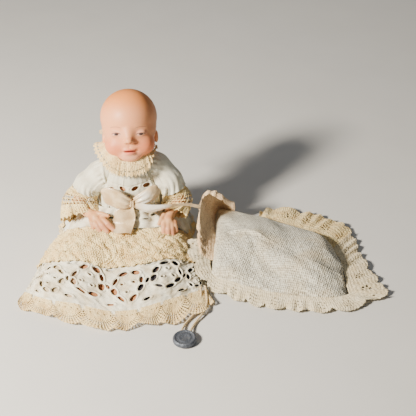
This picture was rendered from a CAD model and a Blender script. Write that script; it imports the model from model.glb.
import math
import bmesh
import bpy
import numpy as np
from mathutils import Matrix, Vector


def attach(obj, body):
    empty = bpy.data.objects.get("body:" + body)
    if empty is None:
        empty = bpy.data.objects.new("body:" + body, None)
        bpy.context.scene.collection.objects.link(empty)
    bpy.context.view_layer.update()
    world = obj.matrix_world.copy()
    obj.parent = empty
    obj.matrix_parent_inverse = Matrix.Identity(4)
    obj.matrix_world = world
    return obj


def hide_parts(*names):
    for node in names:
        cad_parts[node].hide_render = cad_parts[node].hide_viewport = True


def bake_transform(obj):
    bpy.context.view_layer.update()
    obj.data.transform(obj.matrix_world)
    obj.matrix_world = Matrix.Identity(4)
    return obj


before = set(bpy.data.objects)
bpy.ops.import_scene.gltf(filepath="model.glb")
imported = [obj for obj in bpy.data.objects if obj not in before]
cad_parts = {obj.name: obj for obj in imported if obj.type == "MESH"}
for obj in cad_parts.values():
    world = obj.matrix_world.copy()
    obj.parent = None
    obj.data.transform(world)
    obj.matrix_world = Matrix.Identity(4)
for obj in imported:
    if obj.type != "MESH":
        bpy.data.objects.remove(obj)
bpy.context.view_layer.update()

# A seated porcelain doll in a lace gown beside its pillow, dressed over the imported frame.
# Shapes are worked out in millimetres and turned into metres as each mesh is made.

MM = 0.001
PI = math.pi
HEAD_CELL = 0.55
ARM_CELL = 0.55


# ---------------------------------------------------------------------------------------------------
# Numbers

def smooth(t):
    """A soft step from 0 at t = 0 to 1 at t = 1."""
    t = np.clip(t, 0.0, 1.0)
    return t * t * (3 - 2 * t)


WAVES = ((0.71, 0.43, 0.3), (-0.52, 0.93, 1.7), (1.31, -0.64, 4.1), (0.37, 1.57, 2.6))


def wobble(x, y, seed=0):
    """Soft bumps between about -1 and 1, the same on every run."""
    total = 0.0
    for k, (a, b, c) in enumerate(WAVES):
        total = total + np.sin(x * a + y * b + c + seed * (1.3 + 0.7 * k)) / 4
    return total * 1.4


def rough(x, y, size, seed=0):
    """Value noise with features of that size, between 0 and 1."""
    x = np.asarray(x, float) / size
    y = np.asarray(y, float) / size
    ix = np.floor(x)
    iy = np.floor(y)
    fx = smooth(x - ix)
    fy = smooth(y - iy)

    def corner(a, b):
        h = np.sin(a * 127.1 + b * 311.7 + seed * 74.7) * 43758.5453
        return h - np.floor(h)

    low = corner(ix, iy) * (1 - fx) + corner(ix + 1, iy) * fx
    high = corner(ix, iy + 1) * (1 - fx) + corner(ix + 1, iy + 1) * fx
    return low * (1 - fy) + high * fy


def cubic(before, here, there, after, f):
    """Between here and there, at f from 0 to 1, with slopes taken from the points on both sides."""
    slope_a = (there - before) / 2
    slope_b = (after - here) / 2
    return (here * (2 * f**3 - 3 * f**2 + 1) + slope_a * (f**3 - 2 * f**2 + f)
            + there * (3 * f**2 - 2 * f**3) + slope_b * (f**3 - f**2))


def spline(table, t):
    """A smooth line through evenly spaced rows of a table, at t from 0 to 1."""
    table = np.asarray(table, float)
    count = len(table)
    t = np.clip(np.asarray(t, float), 0, 1) * (count - 1)
    i = np.minimum(np.floor(t).astype(int), count - 2)
    f = (t - i).reshape(t.shape + (1,) * (table.ndim - 1))
    before = table[np.maximum(i - 1, 0)]
    after = table[np.minimum(i + 2, count - 1)]
    return cubic(before, table[i], table[i + 1], after, f)


def patch(rows):
    """A smooth sheet through a grid of points: P(u, v), u along the rows and v from row to row."""
    grid = np.asarray(rows, float)
    count = len(grid)

    def at(u, v):
        u = np.asarray(u, float)
        v = np.asarray(v, float)
        lines = np.stack([spline(row, u) for row in grid])
        t = np.clip(v, 0, 1) * (count - 1)
        i = np.minimum(np.floor(t).astype(int), count - 2)
        f = (t - i)[..., None]

        def pick(k):
            k = np.clip(k, 0, count - 1)
            return np.take_along_axis(lines, k[None, ..., None], 0)[0]

        return cubic(pick(i - 1), pick(i), pick(i + 1), pick(i + 2), f)

    return at


def normals(surface, u, v, step=1e-3):
    """Unit vectors square to the sheet."""
    along = surface(u + step, v) - surface(u - step, v)
    across = surface(u, v + step) - surface(u, v - step)
    n = np.cross(across, along)
    return n / np.maximum(np.linalg.norm(n, axis=-1, keepdims=True), 1e-9)


def raised(surface, height):
    """The sheet moved along its own normal by height(u, v)."""
    def at(u, v):
        return surface(u, v) + normals(surface, u, v) * np.asarray(height(u, v))[..., None]
    return at


# ---------------------------------------------------------------------------------------------------
# Meshes

def mesh_object(name, points, faces, material, smooth_faces=True):
    mesh = bpy.data.meshes.new(name)
    mesh.from_pydata((np.asarray(points) * MM).tolist(), [], faces)
    mesh.validate()
    mesh.polygons.foreach_set("use_smooth", [smooth_faces] * len(mesh.polygons))
    mesh.materials.append(material)
    obj = bpy.data.objects.new(name, mesh)
    bpy.context.scene.collection.objects.link(obj)
    return obj


def grid_faces(nu, nv, wrap=False):
    """Quads of a grid whose points are stored row by row, nu to a row."""
    columns = np.arange(nu if wrap else nu - 1)
    rows = np.arange(nv - 1)
    c, r = np.meshgrid(columns, rows)
    a = r * nu + c
    b = r * nu + (c + 1) % nu
    return np.stack([a, b, b + nu, a + nu], -1).reshape(-1, 4).tolist()


def sheet_mesh(name, surface, nu, nv, material, wrap=False):
    u = np.linspace(0, 1, nu, endpoint=not wrap)
    v = np.linspace(0, 1, nv)
    uu, vv = np.meshgrid(u, v)
    points = surface(uu.ravel(), vv.ravel())
    return mesh_object(name, points, grid_faces(nu, nv, wrap), material)


def field_mesh(name, surface, field, nu, nv, material, u_range=(0, 1), v_range=(0, 1)):
    """The part of a sheet where field(u, v) is above zero, cut along the line where it is zero."""
    u = np.linspace(*u_range, nu)
    v = np.linspace(*v_range, nv)
    uu, vv = np.meshgrid(u, v)
    f = np.asarray(field(uu, vv), float)
    f = np.where(np.abs(f) < 1e-6, 1e-6, f)
    inside = f > 0
    number = -np.ones(f.shape, int)
    number[inside] = np.arange(inside.sum())
    spots = [np.stack([uu[inside], vv[inside]], -1)]

    def crossings(a, b):
        """Numbers of the points where the cut crosses the edges from a to b, and -1 elsewhere."""
        cross = inside[a] != inside[b]
        t = f[a] / (f[a] - f[b] + 1e-12)
        edge = -np.ones(cross.shape, int)
        edge[cross] = sum(len(q) for q in spots) + np.arange(cross.sum())
        place = [q[a] + t * (q[b] - q[a]) for q in (uu, vv)]
        spots.append(np.stack([q[cross] for q in place], -1))
        return edge

    edge_u = crossings(np.s_[:, :-1], np.s_[:, 1:])
    edge_v = crossings(np.s_[:-1], np.s_[1:])
    cells = inside[:-1, :-1].astype(int) + inside[:-1, 1:] + inside[1:, 1:] + inside[1:, :-1]
    full = np.argwhere(cells == 4)
    r, c = full[:, 0], full[:, 1]
    faces = np.stack([r * nu + c, r * nu + c + 1, (r + 1) * nu + c + 1, (r + 1) * nu + c], -1)
    faces = number.ravel()[faces].tolist()
    for r, c in np.argwhere((cells > 0) & (cells < 4)):
        ring = ((r, c), (r, c + 1), (r + 1, c + 1), (r + 1, c))
        edges = (edge_u[r, c], edge_v[r, c + 1], edge_u[r + 1, c], edge_v[r, c])
        face = []
        for k in range(4):
            if inside[ring[k]]:
                face.append(int(number[ring[k]]))
            if edges[k] >= 0 and inside[ring[k]] != inside[ring[(k + 1) % 4]]:
                face.append(int(edges[k]))
        if len(face) > 2:
            faces.append(face)
    uv = np.concatenate(spots)
    return mesh_object(name, surface(uv[:, 0], uv[:, 1]), faces, material)


def thicken(obj, thick):
    """Gives a sheet that thickness in millimetres, half to each side."""
    modifier = obj.modifiers.new("thickness", "SOLIDIFY")
    modifier.thickness = thick * MM
    modifier.offset = 0.0


def dress(obj, body, slot, *nodes):
    """Puts a piece on its body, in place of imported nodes, with the finish of that slot."""
    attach(obj, body)
    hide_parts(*nodes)


def surface_nets(distance, low, high, cell):
    """Points and quads of the surface where distance(x, y, z) is zero."""
    axes = [np.arange(a, b + cell, cell) for a, b in zip(low, high)]
    x, y, z = np.meshgrid(*axes, indexing="ij")
    f = distance(x, y, z)
    shape = np.array(f.shape) - 1
    total = np.zeros(tuple(shape) + (3,))
    hits = np.zeros(tuple(shape))
    corners = [(i, j, k) for i in (0, 1) for j in (0, 1) for k in (0, 1)]

    def part(corner):
        return tuple(slice(c, c + n) for c, n in zip(corner, shape))

    for a in corners:
        for axis in range(3):
            if a[axis]:
                continue
            b = list(a)
            b[axis] = 1
            fa = f[part(a)]
            fb = f[part(b)]
            cross = (fa < 0) != (fb < 0)
            t = np.where(cross, fa / np.where(cross, fa - fb, 1), 0)
            spot = [np.full(fa.shape, float(q)) for q in a]
            spot[axis] = spot[axis] + t
            for q in range(3):
                total[..., q] += np.where(cross, spot[q], 0)
            hits += cross
    used = hits > 0
    number = -np.ones(used.shape, int)
    number[used] = np.arange(used.sum())
    cells = np.argwhere(used)
    points = np.array(low) + (cells + total[used] / hits[used][:, None]) * cell
    faces = []
    for axis in range(3):
        o1, o2 = [q for q in range(3) if q != axis]
        core = [slice(1, n) for n in shape]
        core[axis] = slice(0, shape[axis])
        later = list(core)
        later[axis] = slice(1, shape[axis] + 1)
        fa = f[tuple(core)] < 0
        fb = f[tuple(later)] < 0
        where = np.argwhere(fa != fb)
        base = where + np.array([0 if q == axis else 1 for q in range(3)])
        quad = []
        for d1, d2 in ((0, 0), (-1, 0), (-1, -1), (0, -1)):
            at = base.copy()
            at[:, o1] += d1
            at[:, o2] += d2
            quad.append(number[at[:, 0], at[:, 1], at[:, 2]])
        quad = np.stack(quad, -1)
        flip = fa[tuple(where.T)] != (axis == 1)
        quad[~flip] = quad[~flip][:, ::-1]
        faces.append(quad)
    return points, np.concatenate(faces).tolist()


def melt(a, b, k):
    """The smooth union of two distances."""
    h = np.clip(0.5 + 0.5 * (b - a) / k, 0, 1)
    return b * (1 - h) + a * h - k * h * (1 - h)


def egg(p, centre, half):
    """About the distance to an ellipsoid."""
    q = [(p[i] - centre[i]) / half[i] for i in range(3)]
    r = np.sqrt(q[0]**2 + q[1]**2 + q[2]**2)
    g = np.sqrt((q[0] / half[0])**2 + (q[1] / half[1])**2 + (q[2] / half[2])**2)
    return r * (r - 1) / np.maximum(g, 1e-6)


def bone(p, a, b, ra, rb):
    """The distance to a rounded stick that tapers from radius ra to rb."""
    a = np.array(a, float)
    d = np.array(b, float) - a
    t = sum((p[i] - a[i]) * d[i] for i in range(3)) / (d @ d)
    t = np.clip(t, 0, 1)
    gap = np.sqrt(sum((p[i] - a[i] - t * d[i])**2 for i in range(3)))
    return gap - (ra + (rb - ra) * t)


# ---------------------------------------------------------------------------------------------------
# Materials

def tint(r, g, b):
    """A screen colour, 0 to 255, as Blender's linear one."""
    out = []
    for c in (r, g, b):
        c = c / 255
        out.append(c / 12.92 if c <= 0.04045 else ((c + 0.055) / 1.055)**2.4)
    return (*out, 1.0)


class Val:
    """A number in a node tree: sums and products of it add Math nodes."""

    def __init__(self, tree, socket):
        self.tree = tree
        self.socket = socket

    def op(self, kind, *others):
        node = self.tree.nodes.new("ShaderNodeMath")
        node.operation = kind
        for i, value in enumerate((self, *others)):
            if isinstance(value, Val):
                self.tree.links.new(value.socket, node.inputs[i])
            else:
                node.inputs[i].default_value = value
        return Val(self.tree, node.outputs[0])

    def __add__(self, o):
        return self.op("ADD", o)

    def __sub__(self, o):
        return self.op("SUBTRACT", o)

    def __mul__(self, o):
        return self.op("MULTIPLY", o)

    def __truediv__(self, o):
        return self.op("DIVIDE", o)

    def ramp(self, a, b):
        """0 at a, 1 at b, eased between."""
        node = self.tree.nodes.new("ShaderNodeMapRange")
        node.interpolation_type = "SMOOTHSTEP"
        self.tree.links.new(self.socket, node.inputs[0])
        node.inputs[1].default_value = a
        node.inputs[2].default_value = b
        return Val(self.tree, node.outputs[0])


class Look:
    """A material under construction."""

    def __init__(self, name, roughness=0.8, sheen=0.0, specular=0.3):
        self.material = bpy.data.materials.new(name)
        self.material.use_nodes = True
        self.tree = self.material.node_tree
        self.shader = self.tree.nodes["Principled BSDF"]
        self.shader.inputs["Roughness"].default_value = roughness
        self.shader.inputs["Sheen Weight"].default_value = sheen
        self.shader.inputs["Specular IOR Level"].default_value = specular
        self.place = self.tree.nodes.new("ShaderNodeTexCoord").outputs["Object"]
        self.bumps = None

    def xyz(self):
        """The object's own coordinates, in millimetres."""
        node = self.tree.nodes.new("ShaderNodeSeparateXYZ")
        self.tree.links.new(self.place, node.inputs[0])
        return [Val(self.tree, out) * 1000.0 for out in node.outputs]

    def noise(self, size, detail=2.0):
        """Noise with features of about that size in millimetres."""
        node = self.tree.nodes.new("ShaderNodeTexNoise")
        self.tree.links.new(self.place, node.inputs["Vector"])
        node.inputs["Scale"].default_value = 1000.0 / size
        node.inputs["Detail"].default_value = detail
        return Val(self.tree, node.outputs[0])

    def cells(self, size):
        """Distance from the middles of scattered cells of about that size in millimetres."""
        node = self.tree.nodes.new("ShaderNodeTexVoronoi")
        self.tree.links.new(self.place, node.inputs["Vector"])
        node.inputs["Scale"].default_value = 1000.0 / size
        return Val(self.tree, node.outputs["Distance"])

    def threads(self, pitch):
        """A plain weave: a thread over and a thread under, in all three directions."""
        waves = [(axis * (2 * PI / pitch)).op("SINE") for axis in self.xyz()]
        return (waves[0] * waves[1] + waves[1] * waves[2] + waves[2] * waves[0]) * 0.4

    def mix(self, low, high, amount):
        """The colour low where amount is 0, and high where it is 1."""
        node = self.tree.nodes.new("ShaderNodeMix")
        node.data_type = "RGBA"
        self.tree.links.new(amount.socket, node.inputs["Factor"])
        for socket, value in ((node.inputs[6], low), (node.inputs[7], high)):
            if isinstance(value, tuple):
                socket.default_value = value
            else:
                self.tree.links.new(value, socket)
        return node.outputs[2]

    def colour(self, value):
        self.tree.links.new(value, self.shader.inputs["Base Color"])

    def roughness(self, value):
        self.tree.links.new(value.socket, self.shader.inputs["Roughness"])

    def bump(self, height, depth, strength=1.0):
        """Adds relief of that depth in millimetres."""
        node = self.tree.nodes.new("ShaderNodeBump")
        node.inputs["Distance"].default_value = depth * MM
        node.inputs["Strength"].default_value = strength
        self.tree.links.new(height.socket, node.inputs["Height"])
        if self.bumps:
            self.tree.links.new(self.bumps, node.inputs["Normal"])
        self.bumps = node.outputs[0]
        self.tree.links.new(self.bumps, self.shader.inputs["Normal"])


def cotton(name, light, dark, pitch=0.55, depth=0.12):
    """Woven cloth, clean and yellowed in patches, with slubs and creases."""
    look = Look(name, roughness=0.88, sheen=0.15, specular=0.2)
    shade = look.noise(9.0, 4.0).ramp(0.35, 0.7)
    base = look.mix(light, dark, shade)
    slub = look.noise(0.5, 3.0).ramp(0.3, 0.75) * 0.35
    look.colour(look.mix(base, dark, slub))
    look.bump(look.threads(pitch), depth, 0.5)
    look.bump(look.noise(2.2, 3.0), 0.25, 0.6)
    return look.material


def crochet(name, light, dark, stitch=0.9, depth=0.35):
    """Knotted thread, darker between its stitches."""
    look = Look(name, roughness=0.92, sheen=0.2, specular=0.15)
    knot = look.cells(stitch)
    shade = look.noise(7.0, 4.0).ramp(0.3, 0.7)
    base = look.mix(light, dark, shade * 0.6)
    deep = tuple(c * 0.5 for c in dark[:3]) + (1.0,)
    look.colour(look.mix(base, deep, knot.ramp(0.5, 1.0) * 0.8))
    look.bump(knot * -1.0, depth, 0.9)
    look.bump(look.noise(0.4, 2.0), 0.12, 0.5)
    return look.material


WHITE = cotton("gown_cotton", tint(236, 235, 222), tint(214, 209, 194))
PLAIN = cotton("bodice_cotton", tint(234, 232, 212), tint(214, 207, 184))
EYELET = cotton("eyelet_cotton", tint(243, 239, 220), tint(210, 197, 166), 0.5, 0.25)
ECRU = crochet("ecru_lace", tint(243, 219, 164), tint(214, 176, 112))
CREAM = crochet("cream_crochet", tint(246, 225, 168), tint(214, 174, 104), 1.1, 0.6)
PALE = crochet("pale_lace", tint(240, 226, 190), tint(216, 192, 144), 0.8, 0.3)
NEAR = crochet("near_lace", tint(230, 219, 188), tint(207, 188, 146), 0.8, 0.3)
BLUSH = crochet("shaded_lace", tint(240, 212, 172), tint(204, 166, 122), 0.8, 0.3)


# ---------------------------------------------------------------------------------------------------
# Camera, light and floor

# Name, place, what it points at, watts, side of its square, and colour
LIGHTS = (
    ("key", (-0.62, -0.52, 0.60), (0.02, -0.03, 0.05), 34, 0.14, (1, 0.92, 0.80)),
    ("fill", (0.65, -0.75, 0.65), (0.05, -0.03, 0.04), 0.4, 0.8, (0.93, 0.96, 1)),
    ("back", (0.1, 0.8, 0.8), (0.05, 0, 0.06), 1.6, 0.7, (1, 0.98, 0.95)),
)
FLOOR_LEVEL = -0.4
FLOOR_REACH = 9000


def make_studio():
    """The photograph's camera, three lamps, a pale sky and the floor."""
    camera = bpy.data.objects.new("camera", bpy.data.cameras.new("camera"))
    camera.data.lens = 85
    camera.data.sensor_width = 36
    camera.data.clip_start = 0.01
    camera.location = (0.0711, -0.7437, 0.5506)
    camera.rotation_euler = (math.radians(55), 0, 0)
    bpy.context.scene.collection.objects.link(camera)
    bpy.context.scene.camera = camera
    for name, spot, aim, energy, span, warmth in LIGHTS:
        light = bpy.data.objects.new(name, bpy.data.lights.new(name, "AREA"))
        light.data.energy = energy
        light.data.size = span
        light.data.color = warmth
        light.location = spot
        light.rotation_euler = (Vector(aim) - Vector(spot)).to_track_quat("-Z", "Y").to_euler()
        bpy.context.scene.collection.objects.link(light)
    world = bpy.data.worlds.new("studio")
    world.use_nodes = True
    sky = world.node_tree.nodes["Background"]
    sky.inputs[0].default_value = (0.80, 0.83, 0.88, 1)
    sky.inputs[1].default_value = 0.12
    bpy.context.scene.world = world
    look = Look("floor", roughness=0.75)
    look.colour(look.mix(tint(214, 213, 209), tint(206, 205, 201), look.noise(60, 3)))
    turns = ((-1, -1), (1, -1), (1, 1), (-1, 1))
    corners = [(x * FLOOR_REACH, y * FLOOR_REACH, FLOOR_LEVEL) for x, y in turns]
    mesh_object("floor", corners, [(0, 1, 2, 3)], look.material, False)


# ---------------------------------------------------------------------------------------------------
# Tie cords and the lead seal

# Points from under the gown's hem to the seal
CORD_A = ((68.6, -84.5, 6.4), (69.8, -92.5, 4.4), (70.4, -102, 3.7), (69, -111.5, 3.6), (65, -119, 2.2),
          (60.6, -125.6, 1.1), (58, -132.6, 1.5), (56.6, -138.4, 2.6))
CORD_B = ((64.6, -85, 6.2), (65.2, -92.5, 4.4), (65, -101, 3.9), (63, -109, 3.9), (59.2, -116.5, 2.5),
          (54.2, -123.6, 1.1), (50.8, -130.6, 1.5), (49.4, -137.6, 2.6))


def make_cords():
    """The two twisted cords from the pillow to the lead seal."""
    look = Look("cord_cotton", roughness=0.9, specular=0.15)
    x, y, z = look.xyz()
    twist = ((x * 2.4 + y * 2.9 + z * 2.1).op("SINE") + 1.0) * 0.5
    look.colour(look.mix(tint(226, 203, 160), tint(160, 131, 90), twist * 0.6))
    look.bump(twist, 0.3)
    look.bump(look.noise(0.5), 0.1)
    seal = make_seal()
    for letter, route, length in (("a", CORD_A, 0.0574), ("b", CORD_B, 0.0566)):
        curve = bpy.data.curves.new(f"tie_cord_{letter}", "CURVE")
        curve.dimensions = "3D"
        curve.bevel_depth = 0.001
        curve.bevel_resolution = 6
        curve.use_fill_caps = True
        curve.resolution_u = 16
        line = curve.splines.new("NURBS")
        line.points.add(len(route) - 1)
        for point, spot in zip(line.points, route):
            point.co = (*(q * MM for q in spot), 1)
        line.order_u = 3
        line.use_endpoint_u = True
        curve.materials.append(look.material)
        cord = bpy.data.objects.new(f"tie_cord_{letter}", curve)
        bpy.context.scene.collection.objects.link(cord)
        dress(cord, "pillow", "cord", f"tag_cord_{letter}")


def make_seal():
    """A crimped disc: a rim, a sunk face and a shallow ring."""
    look = Look("lead", roughness=0.55, specular=0.5)
    look.shader.inputs["Metallic"].default_value = 0.7
    grain = look.noise(2.5, 5)
    look.colour(look.mix(tint(118, 124, 134), tint(62, 67, 76), grain))
    look.roughness(grain * 0.3 + 0.42)
    look.bump(look.noise(1.2, 4), 0.7, 0.8)
    profile = ((0, 0.3), (6.8, 0.3), (8.6, 0.35), (9.5, 0.9), (9.8, 1.9), (9.75, 3.2), (9.3, 4.2),
               (8.6, 4.75), (7.9, 4.7), (7.4, 4.25), (6.6, 4.15), (5.2, 4.3), (4.7, 4.55), (4.2, 4.3),
               (0, 4.2))
    middle = (52, -147.5)
    turns = 72
    angle = np.arange(turns) * 2 * PI / turns
    points = []
    for r, z in profile:
        dent = 1 + 0.012 * wobble(4 * np.cos(angle), 4 * np.sin(angle), 3)
        points.append(np.stack([middle[0] + r * dent * np.cos(angle),
                                middle[1] + r * dent * np.sin(angle), z + 0 * angle], -1))
    faces = grid_faces(turns, len(profile), True)
    seal = mesh_object("lead_seal", np.concatenate(points), faces, look.material)
    weld(seal)
    dress(seal, "pillow", "lead", "seal_disc")
    return seal


def weld(obj, gap=1e-5):
    """Joins points closer than gap, in metres."""
    modifier = obj.modifiers.new("weld", "WELD")
    modifier.merge_threshold = gap


# ---------------------------------------------------------------------------------------------------
# Skirt: rows from the waist to the hem, each from the doll's right to its left

LAP = patch((
    ((-62, -6, 1), (-58, -14, 14), (-44, -21, 26), (-24, -23, 32.5), (-4, -23.5, 33.5), (16, -23, 33),
     (34, -21, 29), (46, -16, 16), (52, -9, 1)),
    ((-68, -20, 1), (-64, -26, 15), (-50, -32, 27.5), (-28, -35, 33.5), (-5, -36, 33), (16, -35, 31.5),
     (38, -31, 28), (52, -25, 15), (58, -19, 1)),
    ((-74, -38, 1), (-71, -44, 14), (-57, -50, 25), (-34, -53, 30.5), (-9, -54, 28), (14, -53, 27.5),
     (38, -48, 26), (55, -42, 14), (61, -37, 1)),
    ((-80, -58, 1), (-77, -63, 11), (-63, -70, 19.5), (-39, -74, 23), (-13, -76, 18.5), (12, -74, 20.5),
     (38, -66, 19), (57, -60, 11), (65, -55, 1)),
    ((-84.5, -74, 1), (-82, -79, 8), (-68, -88, 13.5), (-43, -94, 16), (-14, -98, 10.5), (13, -95, 13.5),
     (40, -86, 13), (60, -78, 7.5), (68, -72, 1)),
    ((-88, -90, 1), (-86, -94, 4), (-66, -107, 5.5), (-39, -115, 7), (-8, -121, 4.2), (16, -118, 6),
     (38, -108, 6.2), (61, -94, 4.5), (71, -86, 1.2)),
    ((-91, -103, 1), (-87, -111, 1.6), (-66, -120, 2), (-40, -131, 2.4), (-8, -139, 1.6), (16, -131.5, 2.4),
     (38, -131, 2), (67, -116, 1.8), (77.5, -101, 1.2)),
))


def lap_folds(u, v):
    """Gathers at the waist that open into a few soft folds."""
    gather = np.sin(u * 118 + 2.4 * np.sin(u * 19)) * 0.55 * np.exp(-v * 9)
    wide = wobble(u * 21 + v * 2, v * 3, 1) * 1.5 * smooth(v * 3)
    ripples = wobble(u * 55 + v * 7, v * 16 + u * 4, 2) * 0.55 * smooth(v * 5)
    edge = smooth(u / 0.09) * smooth((1 - u) / 0.09)
    hollow = -1.6 * np.exp(-((u - 0.47) / 0.05)**2) * smooth(v * 2) * smooth((1 - v) * 3)
    return (gather + wide + ripples + hollow) * edge


def over_lap(extra):
    return raised(LAP, lambda u, v: lap_folds(u, v) + extra)


LAP_WIDE = 175.0
LAP_LONG = 122.0


def lap_place(u, v):
    """Millimetres across and down the skirt front."""
    return (u - 0.5) * (LAP_WIDE * (0.72 + 0.28 * v)), v * LAP_LONG


def eyelets(s, t, table):
    """Distance outside the nearest hole of a table of (across, down, half length, half width, turn)."""
    best = np.full(np.shape(s), 9.0)
    for cs, ct, a, b, turn in table:
        c, d = math.cos(math.radians(turn)), math.sin(math.radians(turn))
        p = ((s - cs) * c + (t - ct) * d) / a
        q = (-(s - cs) * d + (t - ct) * c) / b
        r = np.sqrt(p * p + q * q)
        best = np.minimum(best, (r - 1) * min(a, b))
    return best


def medallion(cs, ct, across, down, seed):
    """A ring of leaf-shaped holes, broad and narrow by turns, round a few dots."""
    holes = []
    for k in range(8):
        a = 2 * PI * (k + 0.14 * math.sin(seed + k * 1.7)) / 8 + seed
        lean = math.degrees(math.atan2(down * math.cos(a), -across * math.sin(a)))
        broad = 1.75 if (k + int(seed)) % 3 else 1.1
        lean = lean + 14 * math.sin(k * 2.3)
        holes.append((cs + across * math.cos(a), ct + down * math.sin(a), 2.9, broad, lean))
    for k in range(3):
        a = 2.2 * k + seed
        holes.append((cs + 4.2 * math.cos(a), ct + 5.2 * math.sin(a), 0.75 + 0.5 * (k == 1), 0.75, 40 * k))
    return holes


def cutwork():
    """A row of medallions with small holes between them."""
    holes = []
    for k in range(8):
        cs = -86 + 24.5 * k
        holes += medallion(cs, 75.5 + 1.5 * (-1)**k, 8.8, 12.0, k * 0.9)
        holes.append((cs + 12.2, 91.5, 2.3, 1.15, 12 * math.sin(k)))
        holes.append((cs + 12.2, 76.0, 1.0, 2.2, 25 * math.sin(k * 1.7)))
        holes.append((cs + 12.2, 60.5, 2.4, 1.3, -25 + 20 * math.sin(k * 2)))
    return holes


def petticoat_look():
    """What shows through the cutwork: cream cotton, then the warm brown of the legs in shade."""
    look = Look("petticoat", roughness=0.9, specular=0.1)
    x = look.xyz()[0]
    patchy = look.noise(12, 3)
    colour = look.mix(tint(204, 186, 152), tint(192, 134, 92), x.ramp(-52, -36))
    colour = look.mix(colour, tint(60, 56, 60), (x * 0.02 + patchy * 1.6).ramp(0.8, 1.15))
    look.colour(colour)
    look.bump(look.threads(0.6), 0.15)
    return look.material


def over_hips(cloth, *nodes, slot="cotton"):
    """The cloth stays with the torso at the waist and follows the lap further down."""
    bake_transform(cloth)
    if nodes:
        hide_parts(*nodes)


def make_skirt():
    """The front of the skirt: under cloth, petticoat, eyelet panel, crochet overlay and hem lace."""
    cloth = over_lap(-0.9)
    under = sheet_mesh("skirt_front_cloth", lambda u, v: cloth(u, v * 0.5), 280, 120, WHITE)
    thicken(under, 0.5)
    over_hips(under, "skirt_front")
    slip_shape = over_lap(-2.6)
    slip = sheet_mesh("petticoat_front", lambda u, v: slip_shape(0.03 + u * 0.94, 0.42 + v * 0.41), 200, 60,
                      petticoat_look())
    thicken(slip, 0.4)
    over_hips(slip)
    holes = cutwork()

    def panel_field(u, v):
        s, t = lap_place(u, v)
        return eyelets(s, t, holes)

    def panel_relief(u, v):
        s, t = lap_place(u, v)
        gap = eyelets(s, t, holes)
        rim = 1.15 * np.exp(-((gap - 0.65) / 0.5)**2)
        crumple = (rough(s, t, 2.1, 5) - 0.5) * 0.8
        return lap_folds(u, v) + rim + crumple + wobble(s * 0.7, t * 0.7, 3) * 0.35 - 0.2

    panel = field_mesh("eyelet_cutwork", raised(LAP, panel_relief), panel_field, 540, 150, EYELET,
                       (0.0, 1.0), (0.44, 0.835))
    over_hips(panel, "eyelet_panel")

    def crochet_edge(u, v):
        s, t = lap_place(u, v)
        scallop = np.abs(np.sin(s * PI / 4.1)) * 1.2 + wobble(s * 0.2, s * 0.1, 4) * 1.4
        foot = np.minimum(59.5 + scallop - t, t - 21.5 - 6.0 * smooth(1 - u * 2.4) + scallop * 0.4)
        loops = rough(s, t * 1.3, 1.15, 8)
        return np.minimum(foot, (loops - 0.085) * 1.4)

    def crochet_relief(u, v):
        s, t = lap_place(u, v)
        nubs = np.abs(np.sin(s * PI / 1.5 + np.sin(t * 1.4)))
        nubs = nubs * np.abs(np.sin(t * PI / 1.7 + np.sin(s * 0.9)))
        bend = 3.0 * np.sin(s * 0.21) + 2.2 * np.sin(t * 0.33 + s * 0.09)
        swirl = np.abs(np.sin((s + bend) * 0.52 + np.sin((t + bend) * 0.37) * 1.8))
        mounds = wobble(s * 0.6, t * 0.7, 9) * 0.9 + swirl * 1.1
        return lap_folds(u, v) + 0.6 + nubs * 1.0 + mounds + rough(s, t, 0.9, 2) * 0.5

    overlay = field_mesh("crochet_overlay", raised(LAP, crochet_relief), crochet_edge, 520, 170, CREAM,
                         (0.0, 1.0), (0.17, 0.52))
    over_hips(overlay, "lap_overlay_lace", slot="crochet")
    make_hem()


LOBE_DEEP = 4.6
RAY_TURN = 0.15
ROW_PITCH = 1.9


def fan_lace(s, t, wide, period):
    """Scalloped lace made of fans: above zero where there is thread. t runs from the seam to the edge."""
    phase = ((s / period) % 1.0 - 0.5) * period
    lobe = 1 - np.abs(phase / (period / 2))**2.2
    reach = np.hypot(phase, t - wide * 0.12)
    ray = np.arctan2(phase, np.maximum(t - wide * 0.12, 0.01))
    picot = 0.55 * np.abs(np.sin(ray * 13))
    edge = wide - LOBE_DEEP * (1 - lobe) - picot - t
    across = ((ray / RAY_TURN) % 1.0 - 0.5) * RAY_TURN * reach
    along = ((reach / ROW_PITCH) % 1.0 - 0.5) * ROW_PITCH
    slots = np.hypot(across / 0.45, along / 0.75) - 1
    slots = np.where((reach > wide * 0.42) & (t < wide - LOBE_DEEP * (1 - lobe) - 2.0), slots, 1.0)
    dots = np.hypot((s / 4.6) % 1.0 * 4.6 - 2.3, t - wide * 0.2) - 0.6
    return np.minimum(edge, np.minimum(slots * 0.5, dots))


def fan_ribs(s, t, wide, period):
    """Relief of the rays of fan_lace."""
    phase = ((s / period) % 1.0 - 0.5) * period
    ray = np.arctan2(phase, np.maximum(t - wide * 0.12, 0.01))
    return np.abs(np.sin(ray * PI / RAY_TURN)) * 0.55 * smooth(t / wide * 3)


def make_hem():
    """The scalloped lace fans along the front hem."""
    wide = 21.0
    long = 205.0
    fan = 22.0

    def place(u, v):
        return (u - 0.5) * long, (v - 0.80) / 0.2 * wide

    def field(u, v):
        return fan_lace(*place(u, v), wide, fan)

    def relief(u, v):
        s, t = place(u, v)
        waves = 1.5 * np.sin(s * 2 * PI / fan + np.sin(s * 0.13) * 1.5) * smooth(t / wide)
        lift = 0.6 + 0.8 * smooth(t / wide)
        ribs = fan_ribs(s, t, wide, fan)
        return lap_folds(u, v) * 0.6 + lift + waves + ribs + rough(s, t, 0.9, 6) * 0.35

    hem = field_mesh("hem_lace_front", raised(LAP, relief), field, 690, 66, ECRU, v_range=(0.80, 1.0))
    over_hips(hem, "hem_lace", slot="lace")


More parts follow.
